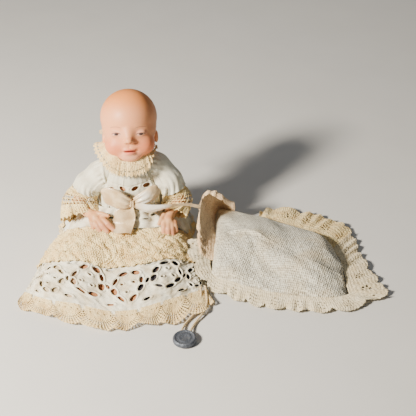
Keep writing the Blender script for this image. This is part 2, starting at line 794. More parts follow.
# The skirt behind the doll, from the waist down: height, half across, half deep, and how far back
BEHIND = ((36, 29, 25, 1), (33, 36, 29, 2), (25, 46, 37, 3), (14, 55, 46, 3), (5, 60, 54, 3),
          (1, 63, 58, 3))


def back_rows():
    rows = []
    for z, rx, ry, back in BEHIND:
        row = []
        for k in range(11):
            a = math.radians(-22 + 224 * k / 10)
            deep = ry * math.sin(a) * (0.8 if a < 0 else 1)
            row.append((rx * math.cos(a) - 4.5 * (1 - z / 36), back + deep, z))
        rows.append(row)
    return rows


def make_skirt_back():
    """The gathered back of the skirt and the lace along its hem."""
    surface = patch(back_rows())

    def folds(u, v):
        gather = np.sin(u * 150 + 2 * np.sin(u * 23)) * (0.5 + 0.8 * v) * smooth(v * 6 + 0.3) * 0.8
        return gather + wobble(u * 26, v * 3, 7) * 1.8 * v - 0.4

    cloth = sheet_mesh("skirt_back_cloth", raised(surface, folds), 420, 90, WHITE)
    thicken(cloth, 0.5)
    dress(cloth, "torso", "cotton", "skirt_back")
    wide = 14.0
    long = 225.0
    fan = 19.0

    def place(u, v):
        return u * long, (v - 0.74) / 0.26 * wide

    def field(u, v):
        return fan_lace(*place(u, v), wide, fan)

    def relief(u, v):
        s, t = place(u, v)
        return folds(u, v) + 1.9 + 0.4 * np.sin(s * 2 * PI / 9) * v + rough(s, t, 0.9, 6) * 0.3

    lace = field_mesh("hem_lace_behind", raised(surface, relief), field, 640, 52, ECRU,
                      v_range=(0.74, 1.0))
    dress(lace, "torso", "lace", "hem_lace_back")


# ---------------------------------------------------------------------------------------------------
# Bodice, sleeves, cuffs and collar

# Height, half across and half deep, from the waist to the neck
BODICE = ((33, 29.5, 25.5), (38, 29, 25.2), (45, 28.4, 24.6), (54, 27.6, 23), (62, 26.4, 20.8),
          (69, 23.8, 18.8), (75, 20.6, 17.2), (80.5, 17.8, 16.2), (86.5, 16.8, 16))


def bodice_at(u, v):
    """u is a turn from the back seam round by the doll's right; v is from the waist to the neck."""
    z, rx, ry = np.moveaxis(spline(BODICE, v), -1, 0)
    a = np.asarray(u) * 2 * PI
    return np.stack([-rx * np.sin(a), ry * np.cos(a), z], -1)


def bodice_folds(u, v):
    x = -27 * np.sin(u * 2 * PI)
    front = np.cos(u * 2 * PI) < 0
    seam = -0.55 * np.exp(-((x + 4.5) / 0.45)**2) * front * smooth((v - 0.5) * 8)
    yoke = 0.5 * np.exp(-((v - 0.575 - 0.04 * np.abs(x / 20)) / 0.012)**2) * front
    sides = -0.7 * np.exp(-((np.abs(x) - 21.5) / 0.8)**2)
    gather = np.sin(u * 170 + 1.6 * np.sin(u * 31)) * 0.45 * (smooth((0.35 - v) * 5) + 0.25)
    back = np.cos(u * 2 * PI) > 0.2
    closing = 0.5 * np.exp(-((x - 3.4) / 3.2)**4) * back
    return seam + yoke + sides + gather * 0.8 + wobble(u * 30, v * 6, 5) * 0.55 + closing


def bodice_holes():
    """Five leaves across the yoke and two rows of small holes below it."""
    table = [(-5.0, 64.5, 3.0, 1.7, -25), (5.8, 64.6, 3.2, 1.7, 25), (16.2, 65.6, 3.0, 1.7, -5),
             (24.5, 66.2, 2.4, 1.6, 10), (-15, 63.0, 2.4, 1.4, 20)]
    for k in range(9):
        table.append((-22 + 5.6 * k, 56.5 + 1.4 * math.sin(k * 1.9), 1.7, 0.95, 40 * math.sin(k * 2.3)))
    for k in range(6):
        table.append((-18 + 7.4 * k, 43.0 + 1.5 * math.sin(k * 2.9), 1.1, 2.2, 12 * math.sin(k * 1.7)))
    return table


def make_bodice():
    """The pierced front of the bodice, its two back panels and the buttons."""
    table = bodice_holes()

    def place(u, v):
        p = bodice_at(u, v)
        return p[..., 0], p[..., 2] + np.where(p[..., 1] > 0, 500, 0)

    def field(u, v):
        return eyelets(*place(u, v), table)

    def relief(u, v):
        gap = field(u, v)
        return bodice_folds(u, v) + 0.55 * np.exp(-((gap - 0.45) / 0.45)**2)

    front = field_mesh("bodice_front_cloth", raised(bodice_at, relief), field, 330, 210, PLAIN,
                       (0.25, 0.75))
    dress(front, "torso", "cotton", "bodice_front")
    for name, lot in (("right", (0.0, 0.25)), ("left", (0.75, 1.0))):
        cloth = field_mesh(f"bodice_{name}_back_cloth", raised(bodice_at, bodice_folds),
                           lambda u, v: u * 0 + 1, 150, 130, PLAIN, lot)
        thicken(cloth, 0.5)
        dress(cloth, "torso", "cotton", f"bodice_back_{name}")
    make_buttons()


def make_buttons():
    """Three small sewn buttons with a rim, down the back closing."""
    look = Look("button_pearl", roughness=0.25, sheen=0.1, specular=0.6)
    look.colour(look.mix(tint(240, 236, 226), tint(205, 205, 210), look.noise(1.4, 4)))
    look.bump(look.noise(0.8, 3), 0.06)
    profile = ((0, 0.55), (1.3, 0.6), (1.6, 0.95), (2.1, 1.25), (2.5, 1.0), (2.6, 0.5), (2.5, 0), (0, 0))
    turns = 40
    angle = np.arange(turns) * 2 * PI / turns
    points = []
    faces = []
    for y, z in ((25.2, 43), (23.9, 53), (21.9, 63)):
        base = len(points)
        for r, out in profile:
            points += [(3.4 + r * math.cos(a), y + out, z + r * math.sin(a)) for a in angle]
        faces += [[base + q for q in face] for face in grid_faces(turns, len(profile), True)]
    row = mesh_object("back_button_row", points, faces, look.material)
    weld(row)
    dress(row, "torso", "button_pearl", "back_buttons")


def tube_at(stations, side):
    """A soft tube through (centre, direction, half across, half tall) stations; side mirrors it in X."""
    centres = np.array([q[0] for q in stations], float)
    ways = np.array([q[1] for q in stations], float)
    halves = np.array([q[2:] for q in stations], float)

    def at(u, v):
        c = spline(centres, v)
        d = spline(ways, v)
        h = spline(halves, v)
        d = d / np.linalg.norm(d, axis=-1, keepdims=True)
        e1 = np.stack([d[..., 1], -d[..., 0], 0 * d[..., 0]], -1)
        e1 = e1 / np.maximum(np.linalg.norm(e1, axis=-1, keepdims=True), 1e-6)
        e2 = np.cross(e1, d)
        a = np.asarray(u) * 2 * PI
        p = c + e1 * (h[..., :1] * np.cos(a)[..., None]) + e2 * (h[..., 1:] * np.sin(a)[..., None])
        p[..., 0] *= side
        return p

    return at


# Stations of each tube: its centre, its direction, and half its width and height
SLEEVES = {
    "right": (((10, 2, 67), (1, 0, 0.1), 11, 10.5), ((19, 1, 69.5), (1, 0, -0.1), 13.6, 13),
              ((26.5, 0, 65.5), (0.8, 0, -0.6), 13.8, 13.2),
              ((34.5, -1.5, 59), (0.6, -0.1, -0.8), 13.8, 12.6),
              ((40.5, -3, 52.5), (0.35, -0.25, -0.9), 13.2, 13)),
    "left": (((10, 4, 69), (1, 0, 0.25), 11, 11), ((18, 5.5, 74.4), (1, 0, 0.05), 12.6, 13),
             ((25.5, 3.5, 71.5), (0.85, 0, -0.5), 13.4, 13.4),
             ((34.5, 0, 61.5), (0.6, -0.1, -0.8), 13.2, 12.4),
             ((40.5, -3, 53), (0.35, -0.25, -0.9), 12.4, 11.4)),
}
CUFFS = {
    "right": (((40.5, -3, 53.5), (0.35, -0.25, -0.9), 13.6, 13.2),
              ((44, -6.5, 48), (0.2, -0.5, -0.85), 15, 14.6),
              ((45, -11.5, 41.5), (0, -0.65, -0.75), 16.4, 15.2),
              ((43.4, -18.4, 30.8), (-0.2, -0.7, -0.68), 18.8, 16)),
    "left": (((40.5, -3, 53.5), (0.35, -0.25, -0.9), 12.8, 11.2),
             ((43, -7, 47.5), (0.2, -0.5, -0.85), 13.6, 10.6),
             ((42, -13, 41.5), (-0.1, -0.7, -0.7), 13.4, 10.4),
             ((38.5, -19.5, 37.5), (-0.3, -0.8, -0.5), 13, 10.2)),
}


HAND_SIDES = (("right", -1), ("left", 1))


def make_sleeves():
    """The two gathered sleeves and their cuff ruffles."""
    wide = 24.0
    long = 92.0

    def place(u, v):
        return u * long, v * wide

    def field(u, v):
        s, t = place(u, v)
        edge = wide - 0.6 - np.abs(np.sin(s * PI / 4.6)) * 1.5 - t
        hole = 0.40 - np.hypot((s / 3.07) % 1.0 - 0.5, ((t / 3.0) % 1.0 - 0.5))
        hole = np.where((np.abs(t - 12.0) < 4.5), hole * 3, -1)
        fine = rough(s, t, 1.0, 14)
        return np.minimum(np.minimum(edge, -hole), (fine - 0.12) * 1.6)

    for hand, side in HAND_SIDES:
        inward = -side

        def folds(u, v, inward=inward):
            around = u * 2 * PI
            gather = np.sin(around * 15 + 2 * np.sin(around * 2)) * 0.5 * smooth((v - 0.55) * 2.4)
            creases = wobble(around * 1.8 + v * 6, v * 12 - around, 11) * 1.5 * smooth(v * 3)
            puckers = -1.4 * np.exp(-((v - 0.30) / 0.025)**2)
            puckers = puckers + np.sin(around * 19) * 0.45 * np.exp(-((v - 0.38) / 0.07)**2)
            return (gather + creases + puckers) * inward

        def ruffle(u, v, inward=inward):
            s, t = place(u, v)
            waves = np.sin(s * 2 * PI / 11.5 + np.sin(s * 0.4)) * 1.5 * smooth((t / wide - 0.45) * 1.9)
            ribs = np.abs(np.sin(s * PI / 1.9)) * 0.4
            band = 0.7 * np.exp(-((t - 2.0) / 1.2)**2) - 0.6 * np.exp(-((t - 12.0) / 2.2)**2)
            knots = rough(s, t, 1.0, 4) * 0.5 + wobble(u * 14, v * 5, 8) * 0.8
            return (waves + ribs + band + knots) * inward

        cloth = sheet_mesh(f"{hand}_sleeve_cloth", raised(tube_at(SLEEVES[hand], side), folds), 190, 90,
                           PLAIN, True)
        thicken(cloth, 0.4)
        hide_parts(f"{hand}_sleeve")
        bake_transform(cloth)
        lace = field_mesh(f"{hand}_cuff_ruffle", raised(tube_at(CUFFS[hand], side), ruffle), field,
                          330, 90, CREAM)
        weld(lace, 2e-5)
        dress(lace, f"{hand}_arm", "lace", f"{hand}_cuff_lace")


# The collar, from behind round by the doll's right: points on its line at the neck and on its outer edge
COLLAR = ((-4, 16, 90, -7, 25, 91), (-14, 10, 93, -26, 14, 93), (-18.2, 2.5, 97, -31, 4, 94),
          (-15.8, -5.5, 96.5, -27, -7, 88), (-11.4, -12, 95.2, -17, -18.6, 81),
          (-8.2, -13.8, 94.4, -11.5, -21, 79.2), (-4, -15.6, 91.4, -6, -22, 78),
          (5.5, -15.6, 91, 7, -22, 78), (12.6, -11.6, 94.5, 17, -18.6, 80), (17.6, -6, 96, 22, -14, 86),
          (19.6, 0, 97.5, 23.5, -7, 92), (16.5, 8, 94, 26, 4, 94), (4, 16, 90, 7, 24.5, 91))


def collar_at(u, v):
    row = spline(COLLAR, u)
    foot = row[..., :3]
    edge = row[..., 3:]
    v = np.asarray(v)[..., None]
    swell = 2.2 * v * (1 - v)
    p = foot + (edge - foot) * v
    p[..., 2] += swell[..., 0] * 1.4
    return p


def make_collar():
    """The scalloped, pleated lace round the neck."""
    wide = 9.5
    scallop = 2.9

    def place(u, v):
        return u * 118, v * wide

    def field(u, v):
        s, t = place(u, v)
        edge = wide - np.abs(np.sin(s * PI / scallop)) * 1.3 - t
        hole = 0.3 - np.hypot((s / scallop) % 1.0 - 0.5, (t - 6.3) / 1.6)
        weave = rough(s, t, 0.85, 21)
        return np.minimum(np.minimum(edge, -hole * 1.8), (weave - 0.1) * 1.6)

    def relief(u, v):
        s, t = place(u, v)
        pleats = np.sin(s * 2 * PI / 7.4 + 2 * np.sin(s * 0.21)) * 0.5 * (0.2 + v)
        pleats = pleats + wobble(s * 0.3, v * 3, 6) * 0.7 * v
        ribs = np.abs(np.sin(s * PI / 1.45)) * 0.35
        return pleats + ribs + rough(s, t, 0.9, 3) * 0.45

    lace = field_mesh("collar_ruffle", raised(collar_at, relief), field, 460, 52, ECRU)
    thicken(lace, 0.35)
    dress(lace, "torso", "lace", "collar_lace")


# ---------------------------------------------------------------------------------------------------
# Satin

def satin_look():
    look = Look("satin", roughness=0.3, sheen=0.35, specular=0.8)
    look.shader.inputs["Anisotropic"].default_value = 0.5
    x, y, z = look.xyz()
    rib = ((x * 5.1 + z * 6.3).op("SINE") + 1.0) * 0.5
    warm = look.noise(8, 3).ramp(0.35, 0.7)
    base = look.mix(tint(228, 202, 160), tint(192, 160, 114), warm)
    base = look.mix(base, tint(250, 246, 232), x.ramp(6, 16) * y.ramp(-26, -30))
    look.colour(look.mix(base, tint(190, 160, 118), rib * 0.25))
    look.roughness(look.noise(3, 3) * 0.2 + 0.2)
    look.bump(rib, 0.05, 0.5)
    look.bump(look.noise(3.5, 3), 0.5, 0.8)
    return look.material


LOOPS = {
    "left": (((4, -27.5, 54.5), (-1, 0, 0.25), 1.6, 2.6), ((-1, -29.5, 56.5), (-1, 0, 0.3), 3.0, 5.8),
             ((-8, -29.5, 59), (-1, 0.1, 0.2), 3.8, 9.4), ((-15, -27.5, 61), (-1, 0.3, 0), 3.4, 9.6),
             ((-20.5, -25.4, 60.5), (-1, 0.4, -0.1), 1.9, 7.2),
             ((-22.8, -24.2, 60), (-1, 0.4, -0.2), 0.3, 4)),
    "right": (((4, -27.5, 54.5), (1, 0, 0.4), 1.6, 2.4), ((9.5, -28, 57), (1, 0, 0.45), 2.6, 4.6),
              ((16.5, -26.2, 60), (1, 0.2, 0.5), 3.0, 7.0), ((22, -23.6, 63), (1, 0.3, 0.5), 2.6, 7.4),
              ((26, -21.4, 65), (1, 0.4, 0.5), 1.4, 5.0), ((27.4, -20.6, 66), (1, 0.4, 0.5), 0.3, 2.4)),
}


def make_bow():
    """The satin ribbon at the breast: two loops, a knot and two tails, and the tie behind the neck."""
    satin = satin_look()

    def creases(u, v):
        around = u * 2 * PI
        rays = np.sin(around * 7 + 1.3 * np.sin(around)) * 0.8 * smooth((0.6 - v) * 2)
        return rays + wobble(around * 1.5, v * 7, 4) * 0.9

    for name, stations in LOOPS.items():
        shape = raised(tube_at(stations, 1), creases)
        loop = sheet_mesh(f"bow_{name}_satin", shape, 96, 70, satin, True)
        dress(loop, "torso", "satin", f"bow_{name}_loop")
    knot = tube_at((((4.0, -29.2, 58.5), (0, 0.05, -1), 1.0, 1.0), ((3.8, -30.2, 57.4), (0, 0, -1), 2.2, 2.3),
                    ((3.6, -30.6, 54), (0, 0, -1), 2.5, 2.7), ((3.6, -30.2, 50.6), (0, 0, -1), 2.3, 2.5),
                    ((3.7, -29.2, 49.2), (0, 0, -1), 1.0, 1.0)), 1)
    knot = raised(knot, lambda u, v: np.sin(u * 2 * PI * 6) * 0.3)
    knot_piece = sheet_mesh("bow_knot_satin", knot, 72, 44, satin, True)
    dress(knot_piece, "torso", "satin", "bow_knot")
    down = patch((
        ((-1, -28.6, 53), (1.5, -29.4, 53), (4.5, -29.2, 53)),
        ((-10.5, -29.5, 48), (-3, -31.4, 47.5), (5.6, -30, 48)),
        ((-12.5, -31.4, 43), (-4, -33.4, 42), (6.4, -31.4, 43)),
        ((-13.4, -34.6, 38.6), (-4.5, -36, 38), (5.8, -34.6, 38.6)),
        ((-13, -40, 36.6), (-5, -41.4, 36.4), (4.6, -40, 36.6)),
        ((-12.4, -46.5, 35.8), (-4.8, -47.6, 36), (3.2, -46.8, 35.6)),
    ))
    down = raised(down, lambda u, v: wobble(u * 5, v * 7, 6) * 1.5)
    tail = sheet_mesh("bow_tail_down", down, 60, 90, satin)
    thicken(tail, 0.4)
    dress(tail, "torso", "satin", "ribbon_tail_down")
    side = patch((
        ((4.6, -29.4, 56), (4.6, -30.2, 54), (4.6, -29.4, 52)),
        ((10, -30.6, 56.4), (10, -32, 53), (10, -30.4, 49.4)),
        ((18, -31.5, 55.5), (18, -33, 50.8), (18, -30.4, 46)),
        ((26, -30.6, 54.5), (26, -31.4, 51), (26, -30, 47.5)),
        ((34, -28, 53.2), (34, -28.6, 51), (34, -28, 48.8)),
        ((43, -24, 51.4), (43, -24.4, 49.8), (43, -24, 48.2)),
        ((52, -19.6, 49), (52, -20, 47.6), (52, -19.6, 46.2)),
        ((59, -16.4, 45.6), (58.7, -16.8, 44.2), (58.4, -16.4, 42.8)),
        ((64.5, -14.6, 43), (64, -14.8, 41.4), (63, -14.8, 40)),
    ))
    side = raised(side, lambda u, v: wobble(u * 5, v * 9, 2) * 0.5)
    ribbon = sheet_mesh("bow_tail_side", side, 44, 170, satin)
    thicken(ribbon, 0.4)
    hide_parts("ribbon_tail_inner", "ribbon_tail_outer")
    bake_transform(ribbon)
    make_neck_bow(satin)


def make_neck_bow(satin):
    """The small tie at the back of the neck."""
    parts = []
    for side in (-1, 1):
        rise = 6.0 if side < 0 else -2.0
        reach = 1.0 if side < 0 else 0.8
        stations = (((1, 31, 84), (1, 0, 0.05), 1.2, 1.6),
                    ((8 * reach, 31.6, 85.5 + rise * 0.3), (1, 0, 0.2), 1.9, 3.2),
                    ((17 * reach, 31.4, 87 + rise * 0.6), (1, 0, 0.2), 2.2, 4.2),
                    ((24 * reach, 30.6, 87.6 + rise * 0.9), (1, 0, 0.1), 1.4, 3.2),
                    ((28 * reach, 29.5, 88 + rise), (1, 0, 0.1), 0.3, 1.6))
        parts.append(raised(tube_at(stations, side), lambda u, v: np.sin(u * 2 * PI * 6) * 0.25 * (1 - v)))
    parts.append(tube_at((((0, 31.2, 87), (0, 0, -1), 0.6, 0.6), ((0, 31.4, 86), (0, 0, -1), 2.2, 2.4),
                          ((0, 31.4, 82.6), (0, 0, -1), 2.2, 2.4),
                          ((0, 31.2, 81.6), (0, 0, -1), 0.6, 0.6)), 1))
    around, along = 60, 40
    u, v = np.meshgrid(np.linspace(0, 1, around, endpoint=False), np.linspace(0, 1, along))
    points = []
    faces = []
    for shape in parts:
        base = sum(len(q) for q in points)
        points.append(shape(u.ravel(), v.ravel()))
        faces += [[base + q for q in face] for face in grid_faces(around, along, True)]
    tie = mesh_object("neck_tie_satin", np.concatenate(points), faces, satin)
    dress(tie, "torso", "satin", "neck_tie_bow")


# ---------------------------------------------------------------------------------------------------
# Head, arms and legs

def ellipse(x, z, cx, cz, rx, rz, soft=0.35):
    """1 inside an ellipse in X and Z, fading over its rim."""
    p = (x - cx) / rx
    q = (z - cz) / rz
    return (p * p + q * q).op("SQRT").ramp(1 + soft, 1 - soft)


def arc(x, z, cx, cz, half, bend, thick):
    """1 on a thin arched stroke."""
    p = (x - cx) / half
    lift = (z - cz) + p * p * bend
    line = lift.op("ABSOLUTE").ramp(thick, thick * 0.3)
    return line * p.op("ABSOLUTE").ramp(1.05, 0.7)


def head_look():
    """The head's painted skin: cheeks, eyes, brows, nostrils and lips, placed in millimetres."""
    look = Look("painted_bisque", roughness=0.5, specular=0.35)
    look.shader.inputs["Subsurface Weight"].default_value = 0.12
    look.shader.inputs["Subsurface Radius"].default_value = (0.004, 0.0015, 0.0008)
    look.shader.inputs["Subsurface Scale"].default_value = 1.0
    x, y, z = look.xyz()
    front = y.ramp(-8, -14)
    colour = look.mix(tint(230, 158, 112), tint(234, 146, 72), z.ramp(42, 61))
    colour = look.mix(colour, tint(224, 150, 100), y.ramp(-2, 18) * 0.7)
    hair = (look.noise(2.2, 4) * 1.4 + z * 0.02 - 1.15).ramp(0.35, 0.75) * y.ramp(-22, 4)
    colour = look.mix(colour, tint(190, 128, 82), hair * 0.35)
    for side in (-1, 1):
        blush = ellipse(x, z, side * 14.5, 13.5, 9.5, 8.5, 0.75) * front
        colour = look.mix(colour, tint(218, 100, 62), blush * 0.5)
        rim = ellipse(x, z, side * 10.5, 27.2, 5.2, 3.0, 0.6) * front
        colour = look.mix(colour, tint(220, 158, 132), rim * 0.5)
    colour = look.mix(colour, tint(222, 168, 146), ellipse(x, z, 0, 6.5, 9, 5, 0.6) * front * 0.4)
    for side in (-1, 1):
        level = 26.5 - 0.45 * side
        white = ellipse(x, z, side * 10.5, level, 3.3, 1.15, 0.3) * front
        colour = look.mix(colour, tint(214, 178, 160), white * 0.7)
        iris = ellipse(x, z, side * 10.5 + 0.2, level + 0.2, 1.9, 1.2, 0.25) * front
        colour = look.mix(colour, tint(40, 30, 33), iris * 0.97)
        lid = arc(x, z, side * 10.5, level + 1.2, 4.4, 1.3, 0.6) * front
        colour = look.mix(colour, tint(84, 56, 50), lid * 0.85)
        brow = arc(x, z, side * 10.6, level + 6.4, 5.2, 1.1, 0.55) * front
        colour = look.mix(colour, tint(136, 88, 70), brow * 0.55)
        nostril = ellipse(x, z, side * 1.5, 18.9, 0.8, 0.45, 0.5) * front
        colour = look.mix(colour, tint(140, 70, 54), nostril * 0.6)
    upper = ellipse(x, z, 0, 12.7, 5.0, 1.0, 0.45)
    lips = upper.op("MAXIMUM", ellipse(x, z, 0, 10.2, 3.8, 1.2, 0.5)) * front
    colour = look.mix(colour, tint(206, 100, 84), lips * 0.75)
    line = arc(x, z, 0, 11.6, 5.8, 0.5, 1.1) * front
    colour = look.mix(colour, tint(128, 26, 18), line * 0.97)
    look.colour(colour)
    look.roughness(look.noise(6, 3) * 0.14 + 0.40)
    look.bump(look.noise(0.5, 2), 0.02, 0.4)
    look.bump(look.noise(7, 2), 0.15, 0.35)
    return look.material


def head_distance(x, y, z):
    """Roughly how far outside the head a point is, in millimetres."""
    p = (x, y, z)
    f = egg(p, (0, 2, 37.8), (24.7, 27.3, 24.4))
    f = melt(f, egg(p, (0, -4, 17.2), (20.6, 20.2, 15.6)), 6)
    f = melt(f, egg(p, (0, -1, 27), (23.2, 24.2, 13)), 3)
    f = melt(f, egg(p, (0, -16.3, 6.5), (9.6, 6.4, 5.6)), 4)
    f = melt(f, egg(p, (0, 0, 1), (9.6, 9.6, 9.6)), 3)
    ax = np.abs(x)
    q = (ax, y, z)
    f = melt(f, egg(q, (12.4, -11.4, 15.2), (8.7, 10, 8.6)), 5)
    socket = np.exp(-((ax - 10.0) / 4.8)**2 - ((z - 27.4) / 3.2)**2) * (y < 0)
    f = f + 1.3 * socket
    f = melt(f, egg(q, (10.4, -19.9, 27.0), (4.4, 3.6, 2.6)), 2.0)
    f = melt(f, bone(p, (0, -22.8, 29.5), (0, -25.4, 22.6), 2.0, 2.5), 5)
    f = melt(f, egg(p, (0, -26.8, 21.4), (3.1, 3.0, 2.4)), 2)
    f = melt(f, egg(q, (2.9, -25.0, 20.2), (1.8, 2.2, 1.6)), 1.4)
    f = f + 0.55 * np.exp(-((ax - 1.5) / 0.7)**2 - ((z - 18.8) / 0.5)**2) * (y < -22)
    f = melt(f, egg(p, (0, -22.2, 13.0), (5.4, 3.2, 1.4)), 2.2)
    f = melt(f, egg(p, (0, -21.6, 9.6), (4.6, 3.6, 1.7)), 2.2)
    f = f + 1.25 * np.exp(-(x / 5.2)**4 - ((z - 11.5 + (x / 5.6)**2 * 0.5) / 0.6)**2) * (y < -15)
    f = f + 0.25 * np.exp(-((ax - 6.6) / 1.2)**2 - ((z - 11.6) / 1.6)**2) * (y < -12)
    f = f + 0.4 * np.exp(-(x / 0.9)**2 - ((z - 16.0) / 1.8)**2) * (y < -18)
    ear = egg(q, (22.6, 4, 18.4), (2.3, 3.8, 5.6))
    cup = egg(q, (24.9, 3.2, 18.6), (1.5, 2.2, 3.6))
    ear = np.maximum(ear, -cup)
    return melt(f, ear, 1.4)


def finger(p, knuckle, tip, bend, ra, rb):
    """Two bones with a bent joint between them."""
    knuckle = np.array(knuckle, float)
    tip = np.array(tip, float)
    middle = (knuckle + tip) / 2 + np.array(bend, float)
    mid = (ra + rb) / 2
    return np.minimum(bone(p, knuckle, middle, ra, mid), bone(p, middle, tip, mid, rb))


# Joints of each arm with their radii, then the palm, the four fingers from knuckle to tip, and the thumb
HANDS = {
    "right": dict(
        arm=((27, 0, 67, 8.0), (33, -1, 62.5, 7.6), (41, -3, 54.5, 6.9), (46, -12, 43.5, 6.0),
             (38.5, -20.5, 41, 4.3)),
        palm=((37.6, -21.6, 40.8, 4.2), (29.6, -29.6, 40.2, 4.4)),
        fingers=(((23, -32.6, 40.6), (12.6, -40.6, 34.6)), ((26.6, -33.8, 39.6), (18.2, -42, 33.8)),
                 ((30, -33.4, 38.6), (24.6, -41.4, 33.6)), ((33.2, -31, 38.6), (30.8, -38, 34.6))),
        thumb=((29, -27, 43), (17.8, -31.8, 43.6))),
    "left": dict(
        arm=((27, 0, 67, 8.0), (33.5, -1, 62.5, 7.6), (42, -3, 56, 6.9), (45, -11, 44.5, 6.0),
             (37.5, -20, 40, 4.3)),
        palm=((37.2, -21, 39.6, 4.2), (35.8, -30.6, 37.6, 4.3)),
        fingers=(((32.2, -33, 37), (31.6, -40, 30.6)), ((35.4, -34, 36.2), (36, -41.2, 29.2)),
                 ((38.6, -33.2, 35.8), (39.8, -39.8, 29.2)), ((41, -30.8, 36), (42.8, -36.8, 30.8))),
        thumb=((31.6, -26.6, 40.4), (27.4, -34.6, 36.8))),
}


def skin_look():
    look = Look("painted_composition", roughness=0.48, specular=0.35)
    y = look.xyz()[1]
    warm = look.noise(7, 3).ramp(0.35, 0.7)
    colour = look.mix(tint(216, 162, 114), tint(202, 136, 90), warm)
    look.colour(look.mix(colour, tint(198, 134, 108), y.ramp(-34, -42) * 0.5))
    look.roughness(look.noise(3, 3) * 0.2 + 0.36)
    look.bump(look.noise(0.7, 2), 0.04, 0.5)
    return look.material


FINGER_THICK = (2.8, 2.9, 2.75, 2.45)


def make_arms(skin):
    """The two arms with their hands. The right one is worked out on the left and mirrored."""
    for hand, side in HAND_SIDES:
        plan = HANDS[hand]

        def distance(x, y, z, plan=plan):
            p = (x, y, z)
            f = 99.0
            for a, b in zip(plan["arm"], plan["arm"][1:]):
                f = melt(f, bone(p, a[:3], b[:3], a[3], b[3]), 2.0)
            a, b = plan["palm"]
            f = melt(f, bone(p, a[:3], b[:3], a[3], b[3]), 2.5)
            digits = 99.0
            for thick, (knuckle, tip) in zip(FINGER_THICK, plan["fingers"]):
                digits = melt(digits, finger(p, knuckle, tip, (0, -1.1, 1.5), thick, thick * 0.76), 1.0)
            f = melt(f, digits, 1.6)
            thumb = finger(p, *plan["thumb"], (0, 0, 0.9), 2.4, 1.6)
            f = melt(f, thumb, 1.4)
            crease = 0.5 * np.exp(-((y - plan["palm"][0][1] - 0.5) / 0.7)**2)
            return np.maximum(f + crease, np.where(y > -16, 20.8 - x, -9.0))

        points, faces = surface_nets(distance, (8, -48, 24), (56, 12, 78), ARM_CELL)
        if side < 0:
            points[:, 0] *= -1
            faces = [face[::-1] for face in faces]
        arm = mesh_object(f"{hand}_arm_skin", points, faces, skin)
        dress(arm, f"{hand}_arm", "composition", f"{hand}_arm")


def make_head():
    points, faces = surface_nets(head_distance, (-28, -33, -12), (28, 33, 63), HEAD_CELL)
    head = mesh_object("bisque_head", points, faces, head_look())
    turn = Matrix.Rotation(math.radians(3), 4, "Z") @ Matrix.Rotation(math.radians(-2), 4, "Y")
    head.matrix_world = (Matrix.Translation((0.0029, 0, 0.0836)) @ Matrix.Diagonal((1.015, 1, 1, 1)) @ turn
                         @ Matrix.Rotation(math.radians(-20), 4, "X"))
    dress(head, "head", "bisque", "head_shell")


# ---------------------------------------------------------------------------------------------------
# Pillow: rows from the far edge over the top to the near edge, each from its left to its right

PILLOW = patch((
    ((77, 24, 3), (82, 25, 3.5), (99, 19, 3.5), (122, 11, 3.5), (143, 1, 3.5), (166, -9, 3.5),
     (182, -23, 3.5), (189, -42, 3), (191, -48, 3)),
    ((76, 19, 4), (81, 21, 13), (99, 15.5, 14), (122, 8, 14.5), (142, -2, 14.5), (164, -12, 14),
     (179, -26, 13), (186.5, -43, 10), (190.5, -50, 3.5)),
    ((75.5, 0, 3.5), (79, 0, 16), (95, -3, 20.5), (115, -13, 21.5), (135, -24, 21), (154, -36, 21.5),
     (172, -50, 20), (187.5, -60, 12), (191, -62, 3.5)),
    ((75, -26, 3.5), (79, -27, 18), (92, -23, 23.5), (108, -28, 25.2), (124, -41, 24.5), (143, -56, 24),
     (164, -70, 23), (187, -74, 12.5), (191, -75, 3.5)),
    ((74.5, -44, 3.5), (78, -46, 16), (92, -46, 21.5), (107, -51, 21.5), (122, -62, 17), (143, -74, 20.5),
     (165, -83, 18.5), (186, -85, 11), (191, -86, 3.5)),
    ((73.5, -60, 3), (77, -63, 11), (92, -68, 15.5), (108, -75, 14.5), (127, -81, 11.5), (147, -88, 13.8),
     (166, -92, 12.5), (184, -92, 8.5), (191, -93, 3.5)),
    ((72, -69, 3), (76, -71, 6.5), (91, -78, 7.5), (108, -86, 7.5), (127, -92, 7), (147, -97, 7.5),
     (165, -98.5, 7.5), (182, -97, 6), (190.5, -95.5, 3.5)),
    ((72, -71, 2.5), (76, -73, 3), (91, -80, 3), (108, -88, 3), (127, -94, 3), (147, -99.5, 3),
     (165, -101, 3), (181, -99.5, 3), (190, -96.5, 3)),
))


def pillow_look():
    """Honeycomb cotton: small sunk cells in rows."""
    look = Look("pillow_pique", roughness=0.9, sheen=0.2, specular=0.15)
    x, y = look.xyz()[:2]
    turn = 2 * PI / 3.4
    along = (x * 0.94 - y * 0.34) * turn
    across = (x * 0.34 + y * 0.94) * turn
    cell = (along.op("SINE") * across.op("SINE")).op("ABSOLUTE")
    cell = cell * 0.5 + look.cells(2.1) * 0.8
    stain = look.noise(26, 4).ramp(0.45, 0.72)
    base = look.mix(tint(227, 224, 205), tint(214, 194, 150), stain * 0.6)
    look.colour(look.mix(base, tint(150, 136, 114), cell.ramp(0.35, 0.95) * 0.65))
    look.bump(cell * -1.0, 1.1, 1.0)
    look.bump(look.noise(1.4, 3), 0.8, 0.7)
    look.bump(look.noise(5, 4), 1.0, 0.8)
    return look.material


